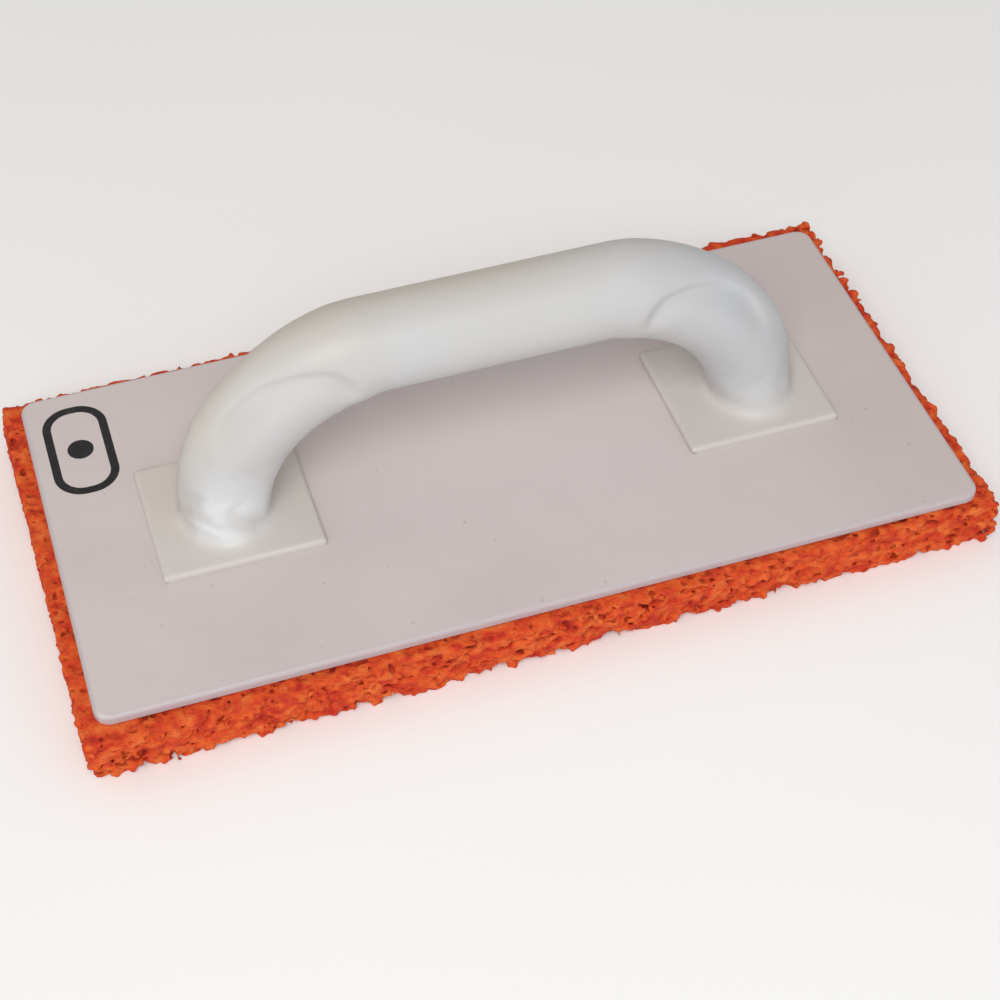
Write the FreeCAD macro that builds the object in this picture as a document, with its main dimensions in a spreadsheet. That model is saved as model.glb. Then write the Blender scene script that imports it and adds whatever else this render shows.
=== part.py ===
# Grout float: a sponge pad glued under a plastic backing plate, with a bow handle that stands on
# two square feet and is held by countersunk screws driven up through the plate.
# Millimetres. Origin at the middle of the pad's bottom face, +X along the float, +Z up.
import FreeCAD, Part
import os
import Sketcher
from math import pi, radians

Vector = FreeCAD.Vector

# Driving dimensions: alias, value, and what it is.
DIMENSIONS = [
    ("pad_length", 280, "sponge pad along X"),
    ("pad_width", 140, "sponge pad along Y"),
    ("pad_thickness", 16, "sponge pad, unloaded"),
    ("pad_corner", 3, "sponge pad corner radius"),
    ("glue_thickness", 0.5, "adhesive layer"),
    ("glue_margin", 1, "plate rim left without adhesive"),
    ("plate_length", 270, "backing plate along X"),
    ("plate_width", 130, "backing plate along Y"),
    ("plate_thickness", 3, "backing plate"),
    ("plate_corner", 5, "backing plate corner radius"),
    ("plate_rim_round", 1.3, "rounding of the plate's top rim"),
    ("grip_radius", 14, "grip section"),
    ("grip_half_length", 39, "straight grip, from its middle to a bend"),
    ("grip_height", 54.1, "grip axis above the plate"),
    ("shoulder_bend", 57.5, "bend radius of the shoulder's axis"),
    ("shoulder_end_angle", 5.5, "where the shoulder ends, above the horizontal"),
    ("shoulder_end_radius", 2.2, "shoulder section where it dies into the leg"),
    ("leg_radius", 13.2, "leg section"),
    ("leg_bend", 56, "bend radius of the leg's axis"),
    ("leg_bend_x", 29.7, "centre of the leg's bend, from the middle"),
    ("leg_bend_drop", 2.4, "centre of the leg's bend, below the plate's top"),
    ("leg_end_angle", 3.5, "where the leg ends inside the foot, above the horizontal"),
    ("leg_root_round", 3, "rounding between leg and foot"),
    ("foot_x", 82.3, "centre of a foot, from the middle"),
    ("foot_length", 49, "foot along X"),
    ("foot_width", 46, "foot along Y"),
    ("foot_thickness", 2.2, "foot"),
    ("foot_corner", 1.5, "foot corner radius"),
    ("foot_rim_round", 0.8, "rounding of the foot's top rim"),
    ("core_radius", 10.5, "hollow core, sealed inside the grip"),
    ("core_length", 90, "hollow core along X"),
    ("screw_x", 85, "screws, from the middle"),
    ("screw_y", 8, "screws, each side of the float's long axis"),
    ("screw_radius", 1.75, "screw shank"),
    ("screw_length", 16, "screw with its head"),
    ("screw_tip", 2, "pointed end of the screw"),
    ("screw_head_radius", 3.4, "screw head"),
    ("screw_head_rim", 0.3, "flat rim round the screw head"),
    ("screw_clearance", 0.05, "gap round the shank and head"),
    ("recess_arm", 1.9, "cross recess, from its middle to an arm's end"),
    ("recess_width", 0.9, "width of a cross recess arm"),
    ("recess_depth", 1.3, "cross recess"),
    ("recess_corner", 0.2, "corners of the cross recess"),
    ("emblem_x", -120, "centre of the emblem"),
    ("emblem_y", 39, "centre of the emblem"),
    ("emblem_length", 38, "emblem along Y"),
    ("emblem_width", 20, "emblem along X"),
    ("emblem_line", 2.6, "width of the emblem's frame"),
    ("emblem_corner", 9, "outer corner radius of the emblem"),
    ("emblem_dot_radius", 4, "solid dot in the middle of the emblem"),
    ("emblem_thickness", 0.1, "printed ink"),
]

doc = FreeCAD.newDocument("grout_float")
sheet = doc.addObject("Spreadsheet::Sheet", "Dimensions")
for row, (alias, value, meaning) in enumerate(DIMENSIONS, start=1):
    sheet.set(f"A{row}", alias)
    sheet.set(f"B{row}", str(value))
    sheet.set(f"C{row}", meaning)
    sheet.setAlias(f"B{row}", alias)
doc.recompute()

ORIGIN = (-1, 1)        # the sketch origin, as a constraint's point
X_AXIS = -1             # the sketch's horizontal axis
Y_AXIS = -2             # the sketch's vertical axis
SCREW_PLACES = [(f"{i} * screw_x", f"{j} * screw_y") for i in (-1, 1) for j in (-1, 1)]


def cells(expression):
    """The expression with each alias written as a reference to the sheet's cell."""
    words = expression.split()
    aliases = {alias for alias, _, _ in DIMENSIONS}
    return " ".join(f"Dimensions.{word}" if word in aliases else word for word in words)


def value_of(expression):
    """The number that an expression of aliases has now."""
    return float(sheet.evalExpression(cells(expression)))


def bind(item, name, expression):
    item.setExpression(name, cells(expression))


def new_body(label, **place):
    """A body, with the place of its own origin given as expressions for x, y and z."""
    body = doc.addObject("PartDesign::Body", label)
    body.Label = label
    for axis, expression in place.items():
        bind(body, f".Placement.Base.{axis}", expression)
    return body


def origin_plane(body, role):
    return next(plane for plane in body.Origin.OriginFeatures if plane.Role == role)


def new_sketch(body, name, role="XY_Plane"):
    sketch = body.newObject("Sketcher::SketchObject", name)
    sketch.AttachmentSupport = [(origin_plane(body, role), "")]
    sketch.MapMode = "FlatFace"
    return sketch


def dimension(sketch, kind, *geometry_and_size):
    """A driving constraint whose size follows the sheet."""
    *geometry, expression = geometry_and_size
    index = sketch.addConstraint(Sketcher.Constraint(kind, *geometry, value_of(expression)))
    bind(sketch, f"Constraints[{index}]", expression)


def place_point(sketch, point, x, y):
    """Holds a point at x, y from the sketch's origin. Either may be '0'."""
    for kind, axis, expression in (("DistanceX", Y_AXIS, x), ("DistanceY", X_AXIS, y)):
        if expression == "0":
            sketch.addConstraint(Sketcher.Constraint("PointOnObject", *point, axis))
        else:
            dimension(sketch, kind, *ORIGIN, *point, expression)


def draw_circle(sketch, radius, x="0", y="0"):
    centre = Vector(value_of(x), value_of(y), 0)
    circle = sketch.addGeometry(Part.Circle(centre, Vector(0, 0, 1), value_of(radius)))
    dimension(sketch, "Radius", circle, radius)
    place_point(sketch, (circle, 3), x, y)


def draw_rounded_rectangle(sketch, length, width, corner, x="0"):
    """A rectangle with four equal round corners, centred on the horizontal axis at x."""
    middle_x = value_of(x)
    a, b = value_of(length) / 2, value_of(width) / 2
    r = value_of(corner)
    arcs = []
    for turn, (i, j) in enumerate(((1, -1), (1, 1), (-1, 1), (-1, -1))):
        centre = Vector(middle_x + i * (a - r), j * (b - r), 0)
        circle = Part.Circle(centre, Vector(0, 0, 1), r)
        arcs.append(sketch.addGeometry(Part.ArcOfCircle(circle, (turn - 1) * pi / 2, turn * pi / 2)))
    sides = []
    for first, second in zip(arcs, arcs[1:] + arcs[:1]):
        start = sketch.getPoint(first, 2)
        end = sketch.getPoint(second, 1)
        sides.append(sketch.addGeometry(Part.LineSegment(start, end)))
        sketch.addConstraint(Sketcher.Constraint("Tangent", first, 2, sides[-1], 1))
        sketch.addConstraint(Sketcher.Constraint("Tangent", sides[-1], 2, second, 1))
        if first != arcs[0]:
            sketch.addConstraint(Sketcher.Constraint("Equal", arcs[0], first))
    right, top, left, bottom = sides
    for side in (left, right):
        sketch.addConstraint(Sketcher.Constraint("Vertical", side))
    for side in (bottom, top):
        sketch.addConstraint(Sketcher.Constraint("Horizontal", side))
    middle = sketch.addGeometry(Part.Point(Vector(middle_x, 0, 0)), True)
    sketch.addConstraint(Sketcher.Constraint("Symmetric", arcs[0], 3, arcs[2], 3, middle, 1))
    place_point(sketch, (middle, 1), x, "0")
    dimension(sketch, "Radius", arcs[0], corner)
    dimension(sketch, "DistanceX", left, 1, right, 1, length)
    dimension(sketch, "DistanceY", bottom, 1, top, 1, width)


def draw_arc(sketch, radius, x, y, start_angle):
    """An arc about x, y from start_angle above the horizontal up to its top."""
    centre = Vector(value_of(x), value_of(y), 0)
    circle = Part.Circle(centre, Vector(0, 0, 1), value_of(radius))
    start = radians(value_of(start_angle))
    arc = sketch.addGeometry(Part.ArcOfCircle(circle, start, pi / 2))
    spoke = sketch.addGeometry(Part.LineSegment(centre, sketch.getPoint(arc, 1)), True)
    sketch.addConstraint(Sketcher.Constraint("Coincident", spoke, 1, arc, 3))
    sketch.addConstraint(Sketcher.Constraint("Coincident", spoke, 2, arc, 1))
    sketch.addConstraint(Sketcher.Constraint("Vertical", arc, 3, arc, 2))
    dimension(sketch, "Radius", arc, radius)
    place_point(sketch, (arc, 3), x, y)
    index = sketch.addConstraint(Sketcher.Constraint("Angle", X_AXIS, spoke, start))
    sketch.setExpression(f"Constraints[{index}]", cells(start_angle) + " * 1 deg")


def pad(body, name, sketch, length, midplane=False):
    feature = body.newObject("PartDesign::Pad", name)
    feature.Profile = sketch
    feature.Midplane = midplane
    bind(feature, "Length", length)
    doc.recompute()
    return feature


def pocket(body, name, sketch, depth, midplane=False):
    """Cuts from the sketch's plane along its normal, or equally to both sides of it."""
    feature = body.newObject("PartDesign::Pocket", name)
    feature.Profile = sketch
    feature.Reversed = True
    feature.Midplane = midplane
    bind(feature, "Length", depth)
    doc.recompute()
    return feature


def round_edges(body, name, radius, wanted):
    """Fillets the edges of the body's tip for which wanted(edge) is true."""
    base = body.Tip
    names = [f"Edge{i}" for i, edge in enumerate(base.Shape.Edges, start=1) if wanted(edge)]
    feature = body.newObject("PartDesign::Fillet", name)
    feature.Base = (base, names)
    bind(feature, "Radius", radius)
    doc.recompute()
    return feature


def lies_at(edge, z):
    return abs(edge.BoundBox.ZMin - z) < 1e-4 and abs(edge.BoundBox.ZMax - z) < 1e-4


def on_foot_outline(edge):
    """True for an edge of a foot's outline, which lies further out than the leg's root."""
    return max(-edge.BoundBox.YMin, edge.BoundBox.YMax) > value_of("leg_radius + leg_root_round")


def make_slab(label, height, length, width, thickness, corner):
    """A flat sheet with round corners."""
    body = new_body(label, z=height)
    outline = new_sketch(body, "outline")
    draw_rounded_rectangle(outline, length, width, corner)
    pad(body, "sheet", outline, thickness)
    return body


def make_sponge_pad():
    return make_slab("sponge_pad", "0", "pad_length", "pad_width", "pad_thickness", "pad_corner")


def make_adhesive_layer():
    length = "plate_length - 2 * glue_margin"
    width = "plate_width - 2 * glue_margin"
    corner = "plate_corner - glue_margin"
    return make_slab("adhesive_layer", "pad_thickness", length, width, "glue_thickness", corner)


def make_backing_plate():
    """A plate with a softened top rim and countersunk screw holes in its underside."""
    body = make_slab("backing_plate", "pad_thickness + glue_thickness",
                     "plate_length", "plate_width", "plate_thickness", "plate_corner")
    top = value_of("plate_thickness")
    round_edges(body, "top_rim", "plate_rim_round", lambda edge: lies_at(edge, top))
    centres = new_sketch(body, "screw_places")
    for x, y in SCREW_PLACES:
        draw_circle(centres, "screw_radius", x, y)
    doc.recompute()
    holes = body.newObject("PartDesign::Hole", "countersunk_holes")
    holes.Profile = centres
    holes.Reversed = True
    doc.recompute()
    holes.ThreadType = "None"
    holes.DepthType = "ThroughAll"
    holes.HoleCutType = "Countersink"
    holes.HoleCutCustomValues = True
    holes.HoleCutCountersinkAngle = 90
    bind(holes, "Diameter", "2 * screw_radius + 2 * screw_clearance")
    bind(holes, "HoleCutDiameter", "2 * screw_head_radius + 2 * screw_head_rim + 2 * screw_clearance")
    doc.recompute()
    return body


def circle_on_path(body, name, path, end, radius):
    """A circular section square to the path, at its start (0) or its end (1)."""
    sketch = body.newObject("Sketcher::SketchObject", name)
    sketch.AttachmentSupport = [(path, "Edge1")]
    sketch.MapMode = "NormalToEdge"
    sketch.MapPathParameter = end
    draw_circle(sketch, radius)
    doc.recompute()
    return sketch


def make_handle():
    """One moulding: a round grip, two bent legs each under a tapering shoulder, and two feet."""
    body = new_body("handle", z="pad_thickness + glue_thickness + plate_thickness")
    section = new_sketch(body, "grip_section", "YZ_Plane")
    draw_circle(section, "grip_radius", "0", "grip_height")
    pad(body, "grip", section, "2 * grip_half_length", midplane=True)

    shoulder_path = new_sketch(body, "shoulder_path", "XZ_Plane")
    draw_arc(shoulder_path, "shoulder_bend", "grip_half_length", "grip_height - shoulder_bend",
             "shoulder_end_angle")
    doc.recompute()
    shoulder = body.newObject("PartDesign::AdditivePipe", "shoulder")
    shoulder.Profile = circle_on_path(body, "shoulder_start", shoulder_path, 1, "grip_radius")
    shoulder.Spine = (shoulder_path, ["Edge1"])
    shoulder.Sections = [circle_on_path(body, "shoulder_end", shoulder_path, 0, "shoulder_end_radius")]
    shoulder.Transformation = "Multisection"
    doc.recompute()

    leg_path = new_sketch(body, "leg_path", "XZ_Plane")
    draw_arc(leg_path, "leg_bend", "leg_bend_x", "0 - leg_bend_drop", "leg_end_angle")
    doc.recompute()
    leg = body.newObject("PartDesign::AdditivePipe", "leg")
    leg.Profile = circle_on_path(body, "leg_section", leg_path, 1, "leg_radius")
    leg.Spine = (leg_path, ["Edge1"])
    doc.recompute()

    outline = new_sketch(body, "foot_outline")
    draw_rounded_rectangle(outline, "foot_length", "foot_width", "foot_corner", "foot_x")
    foot = pad(body, "foot", outline, "foot_thickness")

    other_end = body.newObject("PartDesign::Mirrored", "other_end")
    other_end.Originals = [shoulder, leg, foot]
    other_end.MirrorPlane = (origin_plane(body, "YZ_Plane"), [""])
    body.Tip = other_end
    doc.recompute()

    foot_top = value_of("foot_thickness")
    widest_root = value_of("leg_radius + leg_root_round")
    round_edges(body, "leg_roots", "leg_root_round",
                lambda edge: lies_at(edge, foot_top) and edge.BoundBox.YMax < widest_root
                and edge.BoundBox.YMin > -widest_root)
    round_edges(body, "foot_rims", "foot_rim_round",
                lambda edge: lies_at(edge, foot_top) and on_foot_outline(edge))

    core_section = new_sketch(body, "core_section", "YZ_Plane")
    draw_circle(core_section, "core_radius", "0", "grip_height")
    pocket(body, "core", core_section, "core_length", midplane=True)

    centres = new_sketch(body, "screw_places")
    for x, y in SCREW_PLACES:
        draw_circle(centres, "screw_radius + screw_clearance", x, y)
    pocket(body, "screw_bores", centres, "screw_length - plate_thickness + screw_tip / 2")
    return body


def make_handle_screws():
    """Four countersunk screws, heads flush with the plate's underside, points up in the legs."""
    body = new_body("handle_screws", y="0 - screw_y", z="pad_thickness + glue_thickness")
    body.AllowCompound = True
    profile = new_sketch(body, "turned_profile", "XZ_Plane")
    x = value_of("screw_x")
    shank = value_of("screw_radius")
    head = value_of("screw_head_radius")
    rim = value_of("screw_head_rim")
    length = value_of("screw_length")
    tip = value_of("screw_tip")
    cone_top = rim + head - shank
    half_outline = [(0, 0), (head, 0), (head, rim), (shank, cone_top), (shank, length - tip), (0, length)]
    points = [Vector(x + across, up, 0) for across, up in half_outline]
    axis, face, edge, cone, side, point = (
        profile.addGeometry(Part.LineSegment(first, second))
        for first, second in zip(points[-1:] + points[:-1], points))
    lines = [axis, face, edge, cone, side, point]
    for first, second in zip(lines, lines[1:] + lines[:1]):
        profile.addConstraint(Sketcher.Constraint("Coincident", first, 2, second, 1))
    for line, kind in ((axis, "Vertical"), (face, "Horizontal"), (edge, "Vertical"), (side, "Vertical")):
        profile.addConstraint(Sketcher.Constraint(kind, line))
    place_point(profile, (face, 1), "screw_x", "0")
    dimension(profile, "DistanceX", face, 1, face, 2, "screw_head_radius")
    dimension(profile, "DistanceY", edge, 1, edge, 2, "screw_head_rim")
    dimension(profile, "DistanceX", axis, 2, cone, 2, "screw_radius")
    dimension(profile, "DistanceY", cone, 1, cone, 2, "screw_head_radius - screw_radius")
    dimension(profile, "DistanceY", side, 2, point, 2, "screw_tip")
    dimension(profile, "DistanceY", axis, 2, axis, 1, "screw_length")
    turned = body.newObject("PartDesign::Revolution", "turned")
    turned.Profile = profile
    turned.ReferenceAxis = (profile, [f"Edge{axis + 1}"])
    doc.recompute()

    shaped = [turned]
    for name, along_x, along_y in (("recess_x", "2 * recess_arm", "recess_width"),
                                   ("recess_y", "recess_width", "2 * recess_arm")):
        slot = new_sketch(body, name + "_outline")
        draw_rounded_rectangle(slot, along_x, along_y, "recess_corner", "screw_x")
        shaped.append(pocket(body, name, slot, "recess_depth"))

    pattern = body.newObject("PartDesign::LinearPattern", "four_screws")
    pattern.Originals = shaped
    pattern.Direction = (origin_plane(body, "X_Axis"), [""])
    pattern.Direction2 = (origin_plane(body, "Y_Axis"), [""])
    pattern.Reversed = True
    pattern.Occurrences = 2
    pattern.Occurrences2 = 2
    bind(pattern, "Length", "2 * screw_x")
    bind(pattern, "Length2", "2 * screw_y")
    body.Tip = pattern
    doc.recompute()
    return body


def draw_frame(sketch, length, width, corner, line):
    """The outline and the hole of a frame that is line wide."""
    draw_rounded_rectangle(sketch, length, width, corner)
    hole_length = f"{length} - 2 * {line}"
    hole_width = f"{width} - 2 * {line}"
    draw_rounded_rectangle(sketch, hole_length, hole_width, f"{corner} - {line}")


def make_corner_emblem():
    """A printed mark in one corner of the plate: a round-ended frame with a dot in it."""
    body = new_body("corner_emblem", x="emblem_x", y="emblem_y",
                    z="pad_thickness + glue_thickness + plate_thickness")
    body.AllowCompound = True
    print_outline = new_sketch(body, "print_outline")
    draw_frame(print_outline, "emblem_width", "emblem_length", "emblem_corner", "emblem_line")
    draw_circle(print_outline, "emblem_dot_radius")
    pad(body, "ink", print_outline, "emblem_thickness")
    return body


def check_and_export(bodies):
    """Stops if any feature failed; otherwise writes each body to parts/LABEL.step."""
    doc.recompute()
    for item in doc.Objects:
        if "Invalid" in item.State or "Error" in item.State:
            raise RuntimeError(f"{item.Name} failed: {item.State}")
    for body, solids in bodies:
        shape = body.Shape
        if shape.isNull() or not shape.isValid() or len(shape.Solids) != solids:
            raise RuntimeError(f"{body.Label} is not {solids} valid solid(s)")
    os.makedirs("parts", exist_ok=True)
    for body, _ in bodies:
        body.Shape.exportStep(f"parts/{body.Label}.step")
        print(f"{body.Label}: {body.Shape.Volume / 1000:.2f} cm3")


check_and_export([
    (make_sponge_pad(), 1),
    (make_adhesive_layer(), 1),
    (make_backing_plate(), 1),
    (make_handle(), 1),
    (make_handle_screws(), 4),
    (make_corner_emblem(), 2),
])
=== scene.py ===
"""Looks for the grout float: a soft-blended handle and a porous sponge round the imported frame, the materials
and a studio.

Blender's objects are in metres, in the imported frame's axes. The handle and the sponge are worked out in
millimetres, as fields of the distance to their surface, and then meshed.
"""

import math

import bmesh
import bpy
import numpy as np
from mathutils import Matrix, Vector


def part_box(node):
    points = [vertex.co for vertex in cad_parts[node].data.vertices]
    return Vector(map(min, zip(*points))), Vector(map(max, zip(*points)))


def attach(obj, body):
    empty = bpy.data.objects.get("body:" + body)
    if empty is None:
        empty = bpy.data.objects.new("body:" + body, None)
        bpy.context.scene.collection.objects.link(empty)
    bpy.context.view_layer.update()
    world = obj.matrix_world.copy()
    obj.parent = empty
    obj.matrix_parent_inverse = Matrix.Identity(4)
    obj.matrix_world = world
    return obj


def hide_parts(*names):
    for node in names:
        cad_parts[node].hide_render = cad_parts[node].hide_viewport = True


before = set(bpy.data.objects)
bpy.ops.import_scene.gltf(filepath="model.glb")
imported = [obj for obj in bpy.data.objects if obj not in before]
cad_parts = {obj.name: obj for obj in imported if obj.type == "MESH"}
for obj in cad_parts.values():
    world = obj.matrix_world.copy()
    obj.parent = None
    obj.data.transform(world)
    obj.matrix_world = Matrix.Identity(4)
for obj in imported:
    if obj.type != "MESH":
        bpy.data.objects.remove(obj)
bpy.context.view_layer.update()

import openvdb
from mathutils import Vector

MM = 0.001
SEED = 7

# ---------------------------------------------------------------- places taken from the frame

plate_low, plate_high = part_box("backing_plate")
pad_low, pad_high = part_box("sponge_pad")
handle_low, handle_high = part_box("handle")


# ---------------------------------------------------------------- fields and meshes

def smooth_min(a, b, blend):
    """The smaller of two distances, with the valley between them filled over about blend."""
    share = np.clip(0.5 + 0.5 * (b - a) / blend, 0, 1)
    return b * (1 - share) + a * share - blend * share * (1 - share)


def smooth_max(a, b, blend):
    """The larger of two distances, with the ridge between them cut down over about blend."""
    return -smooth_min(-a, -b, blend)


def smooth_step(value, low, high):
    """From 0 at low to 1 at high, level at both ends."""
    share = np.clip((value - low) / (high - low), 0, 1)
    return share * share * (3 - 2 * share)


def lattice_noise(shape, step, lump, random):
    """Smooth random values from -1 to 1 on a grid, in lumps of about lump (x, y, z) mm."""
    values = random.uniform(-1, 1, [int(count * step / size) + 2 for count, size in zip(shape, lump)])
    for axis, (count, size) in enumerate(zip(shape, lump)):
        place = np.arange(count) * step / size
        low = place.astype(int)
        share = smooth_step(place - low, 0, 1).reshape([-1 if a == axis else 1 for a in range(3)])
        values = np.take(values, low, axis) * (1 - share) + np.take(values, low + 1, axis) * share
    return values


def rounded_box_distance(offsets, half_sizes, rounding):
    """Signed distance to a box with rounded edges; offsets are from its centre."""
    outside = [np.abs(o) - (h - rounding) for o, h in zip(offsets, half_sizes)]
    beyond = np.sqrt(sum(np.maximum(o, 0) ** 2 for o in outside))
    inside = np.minimum(np.maximum.reduce(outside), 0)
    return beyond + inside - rounding


def arc_distance(x, z, centre, bend, low_angle, high_angle):
    """Distance in the XZ plane to an arc, and how far along it from its high end (0) to its low end (1).
    The angles are in degrees, from the X axis towards Z."""
    low, high = math.radians(low_angle), math.radians(high_angle)
    angle = np.arctan2(z - centre[1], x - centre[0])
    angle = np.where(angle < (low + high) / 2 - math.pi, angle + 2 * math.pi, angle)
    angle = np.clip(angle, low, high)
    distance = np.hypot(x - centre[0] - bend * np.cos(angle), z - centre[1] - bend * np.sin(angle))
    return distance, (high - angle) / (high - low)


def mesh_from_field(name, field, corner, step, settle=None, flat_merge=0.0):
    """A piece with the field's zero surface. corner is the grid's first point and step its spacing, in mm.
    settle(points), if given, moves the points on to the exact surface. flat_merge joins faces that lie
    flat."""
    grid = openvdb.FloatGrid(background=float(field.max()))
    grid.copyFromArray(field.astype(np.float32))
    points, triangles, quads = grid.convertToPolygons(0.0, flat_merge)
    points = points.astype(float) * step + np.array(corner)
    if settle:
        points = settle(points)
    mesh = bpy.data.meshes.new(name)
    faces = [quad[::-1] for quad in quads.tolist()] + [triangle[::-1] for triangle in triangles.tolist()]
    mesh.from_pydata((points * MM).tolist(), [], faces)
    mesh.update()
    mesh.shade_smooth()
    piece = bpy.data.objects.new(name, mesh)
    bpy.context.scene.collection.objects.link(piece)
    return piece


# ---------------------------------------------------------------- handle

# The bow is a straight grip, a shoulder that tapers away along an arc, and a leg along another arc, which the
# shoulder sinks into. Both arcs are in the XZ plane. Lengths are in mm and angles in degrees, and heights are
# above the plate's top. A pair that is called a fade is where a change starts and where it is done.
# TAPER_EASE keeps the taper's start gentle. At its root the leg is 1 / (1 - ROOT_FLARE) times as wide in y.
GRIP_RADIUS = 14.0
GRIP_HALF_LENGTH = 39.0
SHOULDER_BEND = 57.5
SHOULDER_END_RADIUS = 2.2
SHOULDER_END_ANGLE = 5.5
TAPER_EASE = 0.06
LEG_BEND = 56.0
LEG_BEND_CENTRE = (29.7, -2.4)
LEG_ANGLES = (2.0, 74.0)
LEG_RADII = (13.8, 13.8, 13.0)
LEG_BLEND = 3.0
LEFT_LEG_LEAN = 2.2
LEAN_FADE = (4, 42)
ROOT_FLARE = 0.2
ROOT_FLARE_FADE = (1, 17)
ROOT_BLEND = 3.5
FOOT_HALF_LENGTH = 24.5
FOOT_THICKNESS = 2.2
FOOT_ROUNDING = 1.0

# The groove round the leg's upper end follows this circle, with its inner side cut off and rounded.
KNUCKLE_CENTRE = (53.2, 24.7)
KNUCKLE_RADIUS = 31.2
KNUCKLE_START = 45.5
KNUCKLE_CORNER = 8.0
CREASE_DEPTH = 1.8
CREASE_OUTER_SPREAD = 2.3
CREASE_INNER_SPREAD = 4.0
CREASE_START_FADE = (45, 53)
CREASE_END_FADE = (26, 44)
CREASE_LOWERS_FROM = 52.0

DENT_DEPTH = 0.45
DENT_RISE = (1.5, 6)
DENT_FADE = (12, 24)
DENT_SIDE_FADE = (74, 86)
DENT_FRONT_FADE = (-2, 9)
RIGHT_LEG_DENTS = 0.3

HANDLE_STEP = 0.75
HANDLE_MARGIN = 3 * HANDLE_STEP
SLOPE_REACH = 0.02
SETTLING_ROUNDS = 3
LEAST_SQUARED_SLOPE = 0.25
SHARP_ANGLE = math.radians(60)

plate_top_mm = plate_high.z / MM
grip_height = (handle_high.z - plate_high.z) / MM - GRIP_RADIUS
foot_half_width = handle_high.y / MM
foot_x = handle_high.x / MM - FOOT_HALF_LENGTH


def root_dents(x, y, z):
    """Shallow dents left by the moulding low on the front of the legs, deeper on the left one. They are two
    crossed waves, about 13 mm long, that each bend a little so that no two dents are alike."""
    bent = x + 2.5 * np.sin(0.35 * z + 0.2 * y)
    waves = np.cos(0.45 * z + 0.9 * np.sin(0.42 * bent)) * np.cos(0.5 * bent + 0.3 * y)
    side = np.where(x < 0, smooth_step(-x, *DENT_SIDE_FADE), RIGHT_LEG_DENTS)
    side = side * smooth_step(-y, *DENT_FRONT_FADE)
    return DENT_DEPTH * side * waves * smooth_step(z, *DENT_RISE) * (1 - smooth_step(z, *DENT_FADE))


def knuckle_relief(x, z):
    """The groove round the leg's upper end, as the side view shows it: steep outside and gentle inside."""
    disc = np.hypot(x - KNUCKLE_CENTRE[0], z - KNUCKLE_CENTRE[1]) - KNUCKLE_RADIUS
    edge = smooth_max(disc, KNUCKLE_START - x, KNUCKLE_CORNER)
    spread = np.where(edge > 0, CREASE_OUTER_SPREAD, CREASE_INNER_SPREAD)
    groove = CREASE_DEPTH * np.exp(-(edge / spread) ** 2)
    start = smooth_step(z + np.maximum(x - CREASE_LOWERS_FROM, 0), *CREASE_START_FADE)
    return groove * start * smooth_step(z, *CREASE_END_FADE)


def handle_distance(x, y, z):
    """Distance to the handle's surface, with z above the plate's top. Both ends are alike, but for the dents
    and for the left leg, which stands a little further in at its root."""
    dents = root_dents(x, y, z)
    lean = np.where(x < 0, LEFT_LEG_LEAN, 0) * (1 - smooth_step(z, *LEAN_FADE))
    foot_half_sizes = (FOOT_HALF_LENGTH, foot_half_width, FOOT_THICKNESS)
    foot = rounded_box_distance((np.abs(x) - foot_x, y, z), foot_half_sizes, FOOT_ROUNDING)
    x, y = np.abs(x) + lean, np.abs(y)
    grip = np.sqrt((x - np.minimum(x, GRIP_HALF_LENGTH)) ** 2 + y * y + (z - grip_height) ** 2) - GRIP_RADIUS

    centre = (GRIP_HALF_LENGTH, grip_height - SHOULDER_BEND)
    sideways, along = arc_distance(x, z, centre, SHOULDER_BEND, SHOULDER_END_ANGLE, 90)
    along = along * along * (1 + TAPER_EASE) / (along + TAPER_EASE)
    radius = GRIP_RADIUS + (SHOULDER_END_RADIUS - GRIP_RADIUS) * along
    shoulder = np.hypot(sideways, y) - radius

    sideways, along = arc_distance(x, z, LEG_BEND_CENTRE, LEG_BEND, *LEG_ANGLES)
    top, middle, bottom = LEG_RADII
    radius = top * (1 - along) ** 2 + 2 * middle * along * (1 - along) + bottom * along ** 2
    flare = 1 - ROOT_FLARE * (1 - smooth_step(z, *ROOT_FLARE_FADE))
    leg = np.hypot(sideways, y * flare) - radius

    bow = smooth_min(np.minimum(grip, shoulder), leg, LEG_BLEND) + knuckle_relief(x, z) + dents
    return np.maximum(smooth_min(bow, foot, ROOT_BLEND), -z)


def settle_on_handle(points):
    """Moves the points along the field's slope on to the handle, and the lowest ones flat on to the plate."""
    shift = SLOPE_REACH
    for _ in range(SETTLING_ROUNDS):
        x, y, z = points[:, 0], points[:, 1], points[:, 2] - plate_top_mm
        here = handle_distance(x, y, z)
        slope = np.stack([
            handle_distance(x + shift, y, z) - handle_distance(x - shift, y, z),
            handle_distance(x, y + shift, z) - handle_distance(x, y - shift, z),
            handle_distance(x, y, z + shift) - handle_distance(x, y, z - shift)], axis=1) / (2 * shift)
        squared = np.maximum(np.sum(slope ** 2, axis=1), LEAST_SQUARED_SLOPE)
        move = np.clip(here / squared, -HANDLE_STEP / 2, HANDLE_STEP / 2)
        points = points - slope * move[:, None]
    low = points[:, 2] < plate_top_mm + HANDLE_STEP / 2
    points[low, 2] = plate_top_mm
    return points


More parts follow.
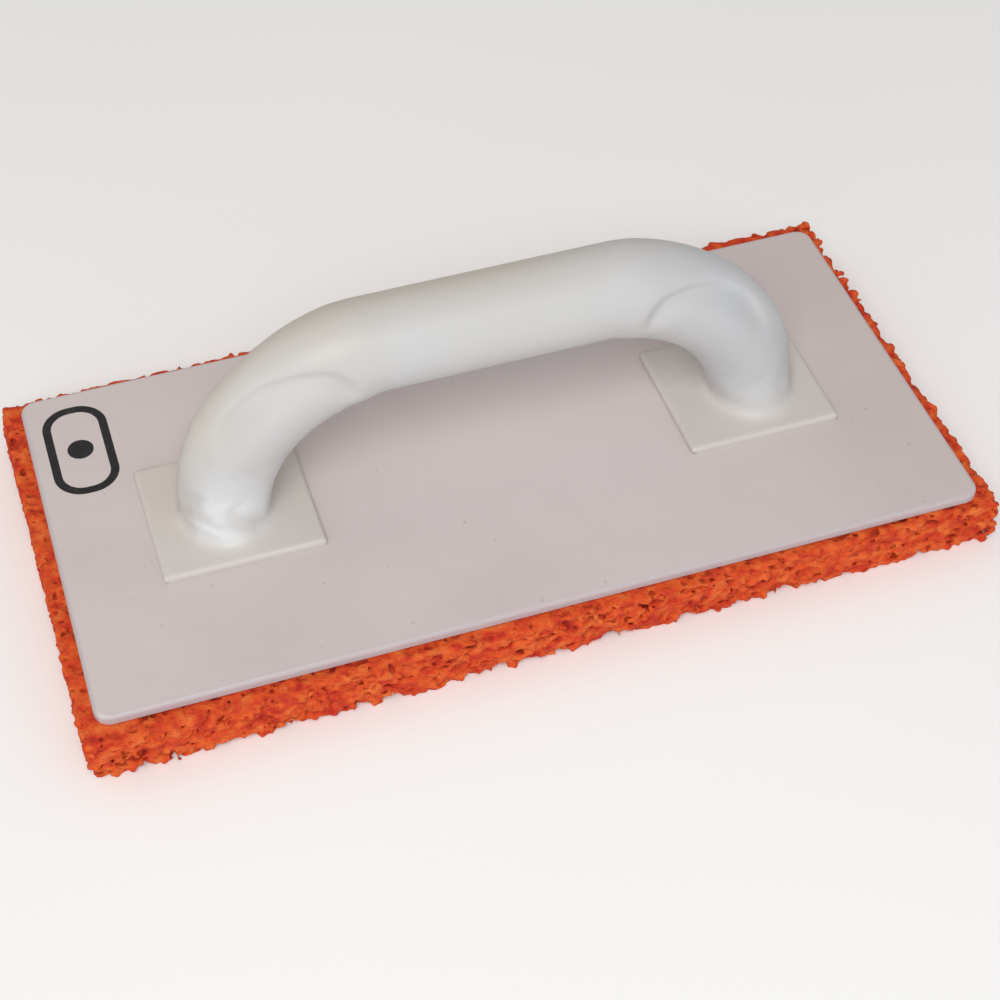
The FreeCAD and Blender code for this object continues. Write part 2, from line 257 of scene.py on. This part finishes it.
def make_handle():
    """The bow and both feet in one skin, without the sealed core and the screw holes, which never show."""
    low = np.array([-handle_high.x / MM, handle_low.y / MM, plate_top_mm]) - HANDLE_MARGIN
    high = np.array([handle_high.x, handle_high.y, handle_high.z]) / MM + HANDLE_MARGIN
    axes = [np.arange(a, b, HANDLE_STEP) for a, b in zip(low, high)]
    x, y, z = np.meshgrid(*axes, indexing="ij")
    field = handle_distance(x, y, z - plate_top_mm)
    piece = mesh_from_field("bow_handle", field, low, HANDLE_STEP, settle_on_handle)
    piece.data.set_sharp_from_angle(angle=SHARP_ANGLE)
    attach(piece, "root")
    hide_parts("handle")
    return piece


handle = make_handle()


# ---------------------------------------------------------------- sponge

# Lengths are in mm, and the inset and the shift are along x and y. The two COVER pairs are where the plate's
# cover starts and where it is whole. Each entry of ROUGHNESS is a depth and the size of its lumps along x, y
# and z. The pairs for pores, notches and lumps are the least and the most of a random draw, and their tilts
# are the most that they rise per mm.
SPONGE_STEP = 0.65
SPONGE_MARGIN = 2.6
SPONGE_INSET = (0.3, 0.65)
SPONGE_ROUNDING = 0.9
SPONGE_SHIFT = (-0.4, 0.65)
SPONGE_SKEW = math.radians(0.6)
RIGHT_END_SLANT = 0.0145
RIGHT_END_SLANT_FROM = -20.0
COVER_INSIDE = (0.5, 3.0)
COVER_BELOW_TOP = (3.5, 1.5)
ROUGHNESS = ((0.6, (16, 16, 8)), (0.45, (4, 4, 3)), (0.65, (1.4, 1.4, 1.1)))
ROUGHNESS_SWELL = 0.2
SPONGE_FACES = 198000

PORE_COUNT = 60000
PORE_OVERHANG = 1
PORE_REACH = 1.5
PORE_MOST_COVER = 0.3
PORE_WIDTH = (0.55, 0.8)
PORE_WIDTH_TAIL = 0.3
PORE_STRETCH = (0.8, 1.3)
PORE_HEIGHT = (0.4, 0.8)
PORE_TILT = 0.5

NOTCH_COUNT = 110
NOTCH_LEVEL = (-0.5, 1.5)
NOTCH_HEIGHT = (1.2, 2.4)
NOTCH_STRETCH = 1.4
NOTCH_TILT = 0.4

LUMP_COUNT = 1200
LUMP_ABOVE_BOTTOM = 0.5
LUMP_BELOW_TOP = 0.6
LUMP_SIZE = (0.7, 1.3)
LUMP_FLATNESS = (0.6, 1)
LUMP_TILT = 0.5
LUMP_SUNK = 0.5
RIGHT_END_LENGTH = 3
RIGHT_END_LUMP_GROWTH = 1.5

STAMP_MARGIN = 1
STAMP_TILT_ROOM = 1.2

pad_half = [(high - low) / 2 / MM for low, high in zip(pad_low, pad_high)]
plate_half = [(high - low) / 2 / MM for low, high in zip(plate_low, plate_high)]


def turned(x, y, angle):
    """The point (x, y) in axes that are turned by the angle."""
    return x * math.cos(angle) + y * math.sin(angle), y * math.cos(angle) - x * math.sin(angle)


def slab_distance(x, y, z):
    """Distance to the sawn slab that the sponge was, before its pores. It was glued on a little askew."""
    x, y = turned(x - SPONGE_SHIFT[0], y - SPONGE_SHIFT[1], SPONGE_SKEW)
    x = x + RIGHT_END_SLANT * np.maximum(y - RIGHT_END_SLANT_FROM, 0) * (x > 0)
    half = (pad_half[0] - SPONGE_INSET[0], pad_half[1] - SPONGE_INSET[1], pad_half[2])
    return rounded_box_distance((x, y, z - pad_half[2]), half, SPONGE_ROUNDING)


def covered_by_plate(x, y, z):
    """1 where the sponge lies flat against the glue and 0 where it is open to the air."""
    inside = np.minimum(plate_half[0] - np.abs(x), plate_half[1] - np.abs(y))
    low, high = [2 * pad_half[2] - below for below in COVER_BELOW_TOP]
    return smooth_step(inside, *COVER_INSIDE) * smooth_step(z, low, high)


def stamp(field, axes, centre, radii, tilt, cut):
    """Cuts a tilted ellipsoid out of the field, or adds it, near its centre only."""
    windows = []
    for axis, middle, radius in zip(axes, centre, (radii[0], radii[1], radii[2] + STAMP_TILT_ROOM)):
        low, high = np.searchsorted(axis, (middle - radius - STAMP_MARGIN, middle + radius + STAMP_MARGIN))
        windows.append(slice(low, high))
    x, y, z = np.ix_(*[axis[window] - middle for axis, window, middle in zip(axes, windows, centre)])
    z = z + tilt[0] * x + tilt[1] * y
    reach = np.sqrt((x / radii[0]) ** 2 + (y / radii[1]) ** 2 + (z / radii[2]) ** 2)
    distance = (reach - 1) * min(radii)
    part = field[tuple(windows)]
    if cut:
        np.maximum(part, -distance, out=part)
    else:
        np.minimum(part, distance, out=part)


def carve_pores(field, axes, random):
    """Flattened pores all over the open faces, a few of them much wider, and larger torn notches along the
    bottom edges."""
    span = np.array([pad_half[0] + PORE_OVERHANG, pad_half[1] + PORE_OVERHANG, pad_half[2]])
    places = random.uniform(-1, 1, (PORE_COUNT, 3)) * span + (0, 0, pad_half[2])
    depth = slab_distance(*places.T)
    wanted = (np.abs(depth) < PORE_REACH) & (covered_by_plate(*places.T) < PORE_MOST_COVER)
    for place in places[wanted]:
        width = random.uniform(*PORE_WIDTH) + random.exponential(PORE_WIDTH_TAIL)
        radii = (width * random.uniform(*PORE_STRETCH), width, random.uniform(*PORE_HEIGHT))
        stamp(field, axes, place, radii, random.uniform(-PORE_TILT, PORE_TILT, 2), cut=True)
    for _ in range(NOTCH_COUNT):
        place = around_the_rim(random, random.uniform(*NOTCH_LEVEL))
        height = random.uniform(*NOTCH_HEIGHT)
        radii = (height * NOTCH_STRETCH, height * NOTCH_STRETCH, height)
        stamp(field, axes, place, radii, random.uniform(-NOTCH_TILT, NOTCH_TILT, 2), cut=True)


def around_the_rim(random, height):
    """A random place on the slab's outline at a height."""
    along = random.uniform(-1, 1)
    side = random.choice((-1, 1))
    if random.uniform(0, pad_half[0] + pad_half[1]) < pad_half[0]:
        x, y = along * pad_half[0], side * pad_half[1]
    else:
        x, y = side * pad_half[0], along * pad_half[1]
    x, y = turned(x, y, -SPONGE_SKEW)
    return np.array([x + SPONGE_SHIFT[0], y + SPONGE_SHIFT[1], height])


def add_lumps(field, axes, random):
    """Crumbs of sponge that stand out of the sawn sides, with their middles a little inside. They are larger
    on the right end."""
    for _ in range(LUMP_COUNT):
        level = random.uniform(LUMP_ABOVE_BOTTOM, 2 * pad_half[2] - LUMP_BELOW_TOP)
        place = around_the_rim(random, level)
        size = random.uniform(*LUMP_SIZE)
        if place[0] > pad_half[0] - RIGHT_END_LENGTH:
            size = size * RIGHT_END_LUMP_GROWTH
        place[:2] = place[:2] * (1 - LUMP_SUNK / np.maximum(np.abs(place[:2]), 1))
        radii = (size, size, size * random.uniform(*LUMP_FLATNESS))
        stamp(field, axes, place, radii, random.uniform(-LUMP_TILT, LUMP_TILT, 2), cut=False)


def make_sponge():
    """The slab with a torn, porous skin wherever the plate doesn't cover it."""
    random = np.random.default_rng(SEED)
    low = np.array([-pad_half[0], -pad_half[1], 0]) - SPONGE_MARGIN
    high = np.array([pad_half[0], pad_half[1], 2 * pad_half[2]]) + SPONGE_MARGIN
    axes = [np.arange(a, b, SPONGE_STEP) for a, b in zip(low, high)]
    x, y, z = np.meshgrid(*axes, indexing="ij")
    field = slab_distance(x, y, z)
    rough = -ROUGHNESS_SWELL
    for depth, lump in ROUGHNESS:
        rough = rough + depth * lattice_noise(field.shape, SPONGE_STEP, lump, random)
    field = field + rough * (1 - covered_by_plate(x, y, z))
    add_lumps(field, axes, random)
    carve_pores(field, axes, random)
    field = np.maximum(field, z - 2 * pad_half[2])
    field = np.maximum(field, -z)
    piece = mesh_from_field("sponge_pad_torn", field, low, SPONGE_STEP, flat_merge=0.01)
    thin_mesh(piece, SPONGE_FACES)
    drop_loose_crumbs(piece)
    store_depth(piece)
    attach(piece, "root")
    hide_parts("sponge_pad")
    return piece


def thin_mesh(piece, wanted_faces):
    """Collapses edges until the piece has about the wanted number of triangles."""
    triangles = sum(len(face.vertices) - 2 for face in piece.data.polygons)
    thinner = piece.modifiers.new("thinner", "DECIMATE")
    thinner.ratio = min(1, wanted_faces / triangles)
    thinner.use_collapse_triangulate = True
    finished = bpy.data.meshes.new_from_object(piece.evaluated_get(bpy.context.evaluated_depsgraph_get()))
    piece.modifiers.clear()
    piece.data = finished


def connected_points(start):
    """The start point and all the points that edges join to it."""
    part = {start}
    waiting = [start]
    while waiting:
        point = waiting.pop()
        for edge in point.link_edges:
            neighbour = edge.other_vert(point)
            if neighbour not in part:
                part.add(neighbour)
                waiting.append(neighbour)
    return part


def drop_loose_crumbs(piece):
    """Keeps the largest connected part only. The pores leave closed bubbles and crumbs that touch nothing."""
    shape = bmesh.new()
    shape.from_mesh(piece.data)
    seen = set()
    largest = set()
    for point in shape.verts:
        if point not in seen:
            part = connected_points(point)
            seen |= part
            largest = max(largest, part, key=len)
    crumbs = [point for point in shape.verts if point not in largest]
    bmesh.ops.delete(shape, geom=crumbs, context="VERTS")
    shape.to_mesh(piece.data)
    shape.free()


def store_depth(piece):
    """Writes how far each point lies under the slab's sawn faces, in mm, for the painted shade in the pores.
    """
    points = np.empty(len(piece.data.vertices) * 3)
    piece.data.vertices.foreach_get("co", points)
    x, y, z = points.reshape(-1, 3).T / MM
    depth = -slab_distance(x, y, z)
    attribute = piece.data.attributes.new("pore_depth", "FLOAT", "POINT")
    attribute.data.foreach_set("value", depth.astype(np.float32))


sponge = make_sponge()


# ---------------------------------------------------------------- materials

class Surface:
    """A procedural material. Its patterns lie in the object's own coordinates, in metres."""

    # A Mix node has a set of sockets for each data type. These are the places of the ones for colours.
    MIX_SHARE, MIX_FIRST, MIX_SECOND, MIX_RESULT = 0, 6, 7, 2

    def __init__(self, name, **constants):
        self.material = bpy.data.materials.new(name)
        self.material.use_nodes = True
        self.nodes = self.material.node_tree.nodes
        self.shader = self.nodes["Principled BSDF"]
        self.place = self.nodes.new("ShaderNodeTexCoord").outputs["Object"]
        for socket, value in constants.items():
            self.shader.inputs[socket.replace("_", " ")].default_value = value

    def link(self, output, socket):
        self.material.node_tree.links.new(output, socket)

    def feed(self, socket, value):
        """Links the value to the socket if it is another node's output, and otherwise sets it there."""
        if isinstance(value, bpy.types.NodeSocket):
            self.link(value, socket)
        else:
            socket.default_value = value

    def set_inputs(self, node, **values):
        """Feeds the node's inputs of those names."""
        for name, value in values.items():
            self.feed(node.inputs[name.replace("_", " ")], value)
        return node

    def noise(self, size, detail=2.0, stretch=(1, 1, 1), roughness=0.5):
        """Values about 0.5 in lumps of about size metres, longer along the axes where stretch is over 1."""
        mapping = self.set_inputs(self.nodes.new("ShaderNodeMapping"), Vector=self.place,
                                  Scale=[1 / s for s in stretch])
        node = self.set_inputs(self.nodes.new("ShaderNodeTexNoise"), Vector=mapping.outputs["Vector"],
                               Scale=0.5 / size, Detail=detail, Roughness=roughness)
        return node.outputs["Fac"]

    def attribute(self, name):
        """A value that is stored on the mesh's points."""
        node = self.nodes.new("ShaderNodeAttribute")
        node.attribute_name = name
        return node.outputs["Fac"]

    def axis(self, name):
        """The place along one axis, in metres."""
        node = self.set_inputs(self.nodes.new("ShaderNodeSeparateXYZ"), Vector=self.place)
        return node.outputs[name]

    def fit(self, value, low, high, to_low=0.0, to_high=1.0):
        """The value spread from low..high to to_low..to_high, and held there."""
        node = self.set_inputs(self.nodes.new("ShaderNodeMapRange"), Value=value, From_Min=low, From_Max=high,
                               To_Min=to_low, To_Max=to_high)
        return node.outputs["Result"]

    def math(self, operation, first, second=0.0):
        """A Math node's operation on one or two values."""
        node = self.nodes.new("ShaderNodeMath")
        node.operation = operation
        for socket, value in zip(node.inputs, (first, second)):
            self.feed(socket, value)
        return node.outputs["Value"]

    def product(self, first, *others):
        """All the values multiplied together."""
        for other in others:
            first = self.math("MULTIPLY", first, other)
        return first

    def colours(self, value, stops):
        """A colour for the value, from (position, colour) stops."""
        node = self.set_inputs(self.nodes.new("ShaderNodeValToRGB"), Fac=value)
        elements = node.color_ramp.elements
        while len(elements) < len(stops):
            elements.new(1.0)
        for element, (position, colour) in zip(elements, stops):
            element.position = position
            element.color = (*colour, 1)
        return node.outputs["Color"]

    def mix(self, share, first, second):
        """The first colour where share is 0 and the second where it is 1."""
        node = self.nodes.new("ShaderNodeMix")
        node.data_type = "RGBA"
        self.feed(node.inputs[self.MIX_SHARE], share)
        for index, colour in ((self.MIX_FIRST, first), (self.MIX_SECOND, second)):
            if isinstance(colour, tuple):
                colour = (*colour, 1)
            self.feed(node.inputs[index], colour)
        return node.outputs[self.MIX_RESULT]

    def bump(self, height, depth, below=None):
        """Bumps of about depth metres, on top of another bump if one is given."""
        node = self.set_inputs(self.nodes.new("ShaderNodeBump"), Height=height, Distance=depth, Strength=1.0)
        if below:
            self.link(below, node.inputs["Normal"])
        return node.outputs["Normal"]

    def finish(self, colour=None, roughness=None, normal=None):
        """Links what is given to the shader and returns the material."""
        for name, value in (("Base Color", colour), ("Roughness", roughness), ("Normal", normal)):
            if value:
                self.link(value, self.shader.inputs[name])
        return self.material


def dress(piece, material):
    """Gives the piece one material in place of any it had."""
    piece.data.materials.clear()
    piece.data.materials.append(material)


def sponge_material():
    """Orange foam: lighter crumbs, redder in blotches where it is denser, and painted shade in the pores,
    darker red the deeper they lie.
    """
    surface = Surface("orange_sponge", Specular_IOR_Level=0.25)
    crumbs = surface.noise(0.0011, detail=4, stretch=(1.5, 1.5, 1), roughness=0.6)
    blotches = surface.noise(0.0016, detail=2, stretch=(1.5, 1.5, 1), roughness=0.5)
    faded = surface.noise(0.03, detail=2)
    pores = surface.fit(surface.attribute("pore_depth"), 0.1, 1.8)
    tone = surface.math("ADD", surface.fit(crumbs, 0.3, 0.7, 0.0, 0.45),
                        surface.fit(blotches, 0.3, 0.66, 0.0, 0.55))
    skin = surface.colours(tone, [(0.16, (0.48, 0.020, 0.012)), (0.36, (0.62, 0.047, 0.015)),
                                  (0.58, (0.73, 0.092, 0.017)), (0.95, (0.82, 0.185, 0.045))])
    skin = surface.mix(surface.fit(faded, 0.3, 0.7, 0.0, 0.2), skin, (0.71, 0.11, 0.02))
    # Painted shade: the pores turn darker red the deeper they lie under the slab's sawn faces.
    colour = surface.mix(surface.math("MULTIPLY", pores, 0.75), skin, (0.34, 0.018, 0.01))
    normal = surface.bump(crumbs, 0.0012)
    normal = surface.bump(surface.noise(0.0004, detail=3), 0.0005, normal)
    return surface.finish(colour, surface.fit(crumbs, 0.3, 0.7, 0.7, 0.95), normal)


def plate_material():
    """Satin pinkish-grey plastic with faint clouds, fine grain, hair scratches and specks. A painted pool of
    light makes it lighter in the middle, below the hand, and painted shade makes it darker at its right end
    and along its rim."""
    surface = Surface("plate_plastic")
    clouds = surface.noise(0.03, detail=3)
    marks = surface.noise(0.0025, detail=3, stretch=(9, 1, 1))
    colour = surface.colours(clouds, [(0.3, (0.58, 0.515, 0.51)), (0.5, (0.61, 0.54, 0.533)),
                                      (0.72, (0.635, 0.57, 0.56))])
    along = surface.axis("X")
    end_reach = surface.math("ABSOLUTE", along)
    side_reach = surface.math("ABSOLUTE", surface.axis("Y"))
    # Painted light: a pool of light that makes the plate lighter in its middle, below the hand.
    painted_light_pool = surface.product(surface.fit(end_reach, 0.11, 0.03), surface.fit(side_reach, 0.055, 0.012),
                            surface.fit(clouds, 0.3, 0.6, 0.7, 1.0))
    colour = surface.mix(painted_light_pool, colour, (0.665, 0.6, 0.6))
    # Painted shade: the plate darkens towards its right end, where the light falls off.
    colour = surface.mix(surface.fit(along, 0.05, 0.12, 0.0, 0.4), colour, (0.52, 0.45, 0.435))
    specks = surface.fit(surface.noise(0.0016, detail=1), 0.755, 0.79)
    colour = surface.mix(surface.math("MULTIPLY", specks, 0.35), colour, (0.3, 0.26, 0.25))
    # Painted shade: a darker band along the rim dulls the highlight that its rounded edge catches.
    past_side = surface.math("SUBTRACT", side_reach, plate_high.y)
    past_end = surface.math("SUBTRACT", end_reach, plate_high.x)
    rim = surface.fit(surface.math("MAXIMUM", past_side, past_end), -0.0015, -0.0005)
    colour = surface.mix(rim, colour, (0.505, 0.437, 0.455))
    roughness = surface.fit(surface.math("ADD", clouds, marks), 0.7, 1.3, 0.36, 0.52)
    normal = surface.bump(surface.noise(0.0005, detail=2), 0.00003)
    normal = surface.bump(surface.noise(0.012, detail=2), 0.0004, normal)
    return surface.finish(colour, roughness, normal)


def handle_material():
    """Satin milky plastic, with painted light: a warm tint on its back left side, painted shade that cools and
    darkens it to the right, and a painted highlight low on the legs' fronts, strongest on the left leg. Its
    feet are a little more tan, and lighter with painted light."""
    surface = Surface("milky_plastic", Subsurface_Weight=0.15, Subsurface_Scale=0.003, IOR=1.5)
    surface.shader.inputs["Subsurface Radius"].default_value = (1.0, 0.9, 0.8)
    along, across = surface.axis("X"), surface.axis("Y")
    height = surface.math("SUBTRACT", surface.axis("Z"), plate_high.z)
    clouds = surface.noise(0.02, detail=3)
    colour = surface.colours(clouds, [(0.3, (0.565, 0.535, 0.505)), (0.5, (0.57, 0.56, 0.55)),
                                      (0.7, (0.575, 0.575, 0.58))])
    # Painted shade: the handle turns cooler and darker towards the right.
    colour = surface.mix(surface.fit(along, 0.02, 0.07, 0.0, 0.6), colour, (0.53, 0.545, 0.58))
    # Painted light: a warm tint on the back left side, as of warm light from behind.
    painted_warm_light = surface.product(surface.fit(across, -0.010, 0.008), surface.fit(along, 0.06, 0.0))
    colour = surface.mix(painted_warm_light, colour, (0.57, 0.52, 0.465))
    # Partly the feet's own more tan tone, partly painted light: the feet and leg roots are lighter, which
    # lifts the shade the legs cast on them.
    colour = surface.mix(surface.fit(height, 0.014, 0.001), colour, (0.61, 0.565, 0.53))
    # Painted highlight: a lighter patch low on the legs' fronts, strongest on the left leg, which is also a
    # little glossier there.
    painted_highlight = surface.product(
        surface.fit(surface.noise(0.006, detail=2), 0.3, 0.5), surface.fit(height, 0.030, 0.016),
        surface.fit(height, 0.002, 0.005), surface.fit(across, -0.004, -0.011),
        surface.fit(along, -0.03, 0.03, 1.0, 0.2))
    colour = surface.mix(painted_highlight, colour, (0.72, 0.725, 0.73))
    satin = surface.fit(surface.noise(0.004, detail=3), 0.3, 0.7, 0.44, 0.54)
    roughness = surface.math("SUBTRACT", satin, surface.math("MULTIPLY", painted_highlight, 0.1))
    normal = surface.bump(surface.noise(0.007, detail=1), 0.0003)
    return surface.finish(colour, roughness, normal)


def adhesive_material():
    """Dried contact glue, dark red where it has soaked into the foam."""
    surface = Surface("contact_glue")
    patches = surface.noise(0.004, detail=3)
    colour = surface.colours(patches, [(0.3, (0.16, 0.012, 0.01)), (0.7, (0.36, 0.05, 0.025))])
    return surface.finish(colour, surface.fit(patches, 0.3, 0.7, 0.35, 0.6), surface.bump(patches, 0.0003))


def screw_material():
    """Zinc-plated steel with turning marks and a faint bloom."""
    surface = Surface("zinc_steel", Metallic=1.0)
    bloom = surface.noise(0.002, detail=3)
    turning = surface.noise(0.0004, detail=2, stretch=(6, 6, 1))
    colour = surface.colours(bloom, [(0.3, (0.5, 0.5, 0.48)), (0.7, (0.62, 0.62, 0.64))])
    return surface.finish(colour, surface.fit(bloom, 0.3, 0.7, 0.25, 0.45), surface.bump(turning, 0.00005))


def ink_material():
    """Black printing ink, slightly thin in places and matt beside the plate."""
    surface = Surface("black_ink")
    wear = surface.noise(0.0012, detail=4)
    colour = surface.colours(wear, [(0.3, (0.008, 0.007, 0.008)), (0.62, (0.014, 0.013, 0.014)),
                                    (0.8, (0.06, 0.055, 0.055))])
    return surface.finish(colour, surface.fit(wear, 0.3, 0.7, 0.4, 0.6), surface.bump(wear, 0.00003))


def floor_material():
    """A plain pale floor with a haze that is almost too faint to see."""
    surface = Surface("pale_floor")
    haze = surface.noise(0.25, detail=2)
    colour = surface.colours(haze, [(0.3, (0.93, 0.93, 0.93)), (0.7, (0.95, 0.95, 0.95))])
    return surface.finish(colour, surface.fit(haze, 0.3, 0.7, 0.75, 0.85))


dress(sponge, sponge_material())
dress(handle, handle_material())
dress(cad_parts["backing_plate"], plate_material())
dress(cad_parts["adhesive_layer"], adhesive_material())
dress(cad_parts["handle_screws"], screw_material())
dress(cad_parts["corner_emblem"], ink_material())


# ---------------------------------------------------------------- studio

def make_camera():
    """At the front left and above, looking down at the plate."""
    place = (-0.1322, -0.4112, 0.4683)
    aim = Vector((-0.00407, -0.02194, plate_high.z))
    roll = math.radians(-0.17)
    camera_data = bpy.data.cameras.new("camera")
    camera_data.lens = 72.72
    camera_data.sensor_width = 36
    camera = bpy.data.objects.new("camera", camera_data)
    bpy.context.scene.collection.objects.link(camera)
    camera.location = place
    camera.rotation_euler = (aim - camera.location).to_track_quat("-Z", "Y").to_euler()
    camera.rotation_euler.rotate_axis("Z", roll)
    bpy.context.scene.camera = camera


def area_light(name, place, aim, size, power, colour):
    """A square light, size metres wide and of power watts, that faces the aim."""
    data = bpy.data.lights.new(name, "AREA")
    data.size = size
    data.energy = power
    data.color = colour
    light = bpy.data.objects.new(name, data)
    light.location = place
    light.rotation_euler = (Vector(aim) - Vector(place)).to_track_quat("-Z", "Y").to_euler()
    bpy.context.scene.collection.objects.link(light)


def make_floor():
    """A square floor, so wide that its edge looks like a horizon from a low angle."""
    reach = 12.0
    corners = [(-reach, -reach, 0), (reach, -reach, 0), (reach, reach, 0), (-reach, reach, 0)]
    mesh = bpy.data.meshes.new("floor")
    mesh.from_pydata(corners, [], [(0, 1, 2, 3)])
    floor = bpy.data.objects.new("floor", mesh)
    bpy.context.scene.collection.objects.link(floor)
    dress(floor, floor_material())


def make_world():
    """Even light from all round, with a trace of warmth."""
    world = bpy.data.worlds.new("world")
    world.use_nodes = True
    background = world.node_tree.nodes["Background"]
    background.inputs["Color"].default_value = (0.985, 0.985, 0.975, 1)
    background.inputs["Strength"].default_value = 0.42
    bpy.context.scene.world = world


make_camera()
make_floor()
make_world()
middle = (0, 0, 0.03)
area_light("key", (-0.4, -1.0, 1.35), middle, 0.9, 18, (1.0, 0.97, 0.945))
area_light("window", (-1.5, -2.2, 0.65), middle, 1.0, 6, (0.68, 0.86, 1.0))
area_light("fill", (1.1, -2.1, 0.8), middle, 1.2, 4, (0.68, 0.86, 1.0))
area_light("back", (-1.4, 1.0, 1.8), middle, 1.0, 3, (1.0, 0.82, 0.65))
bpy.context.scene.view_settings.view_transform = "Standard"
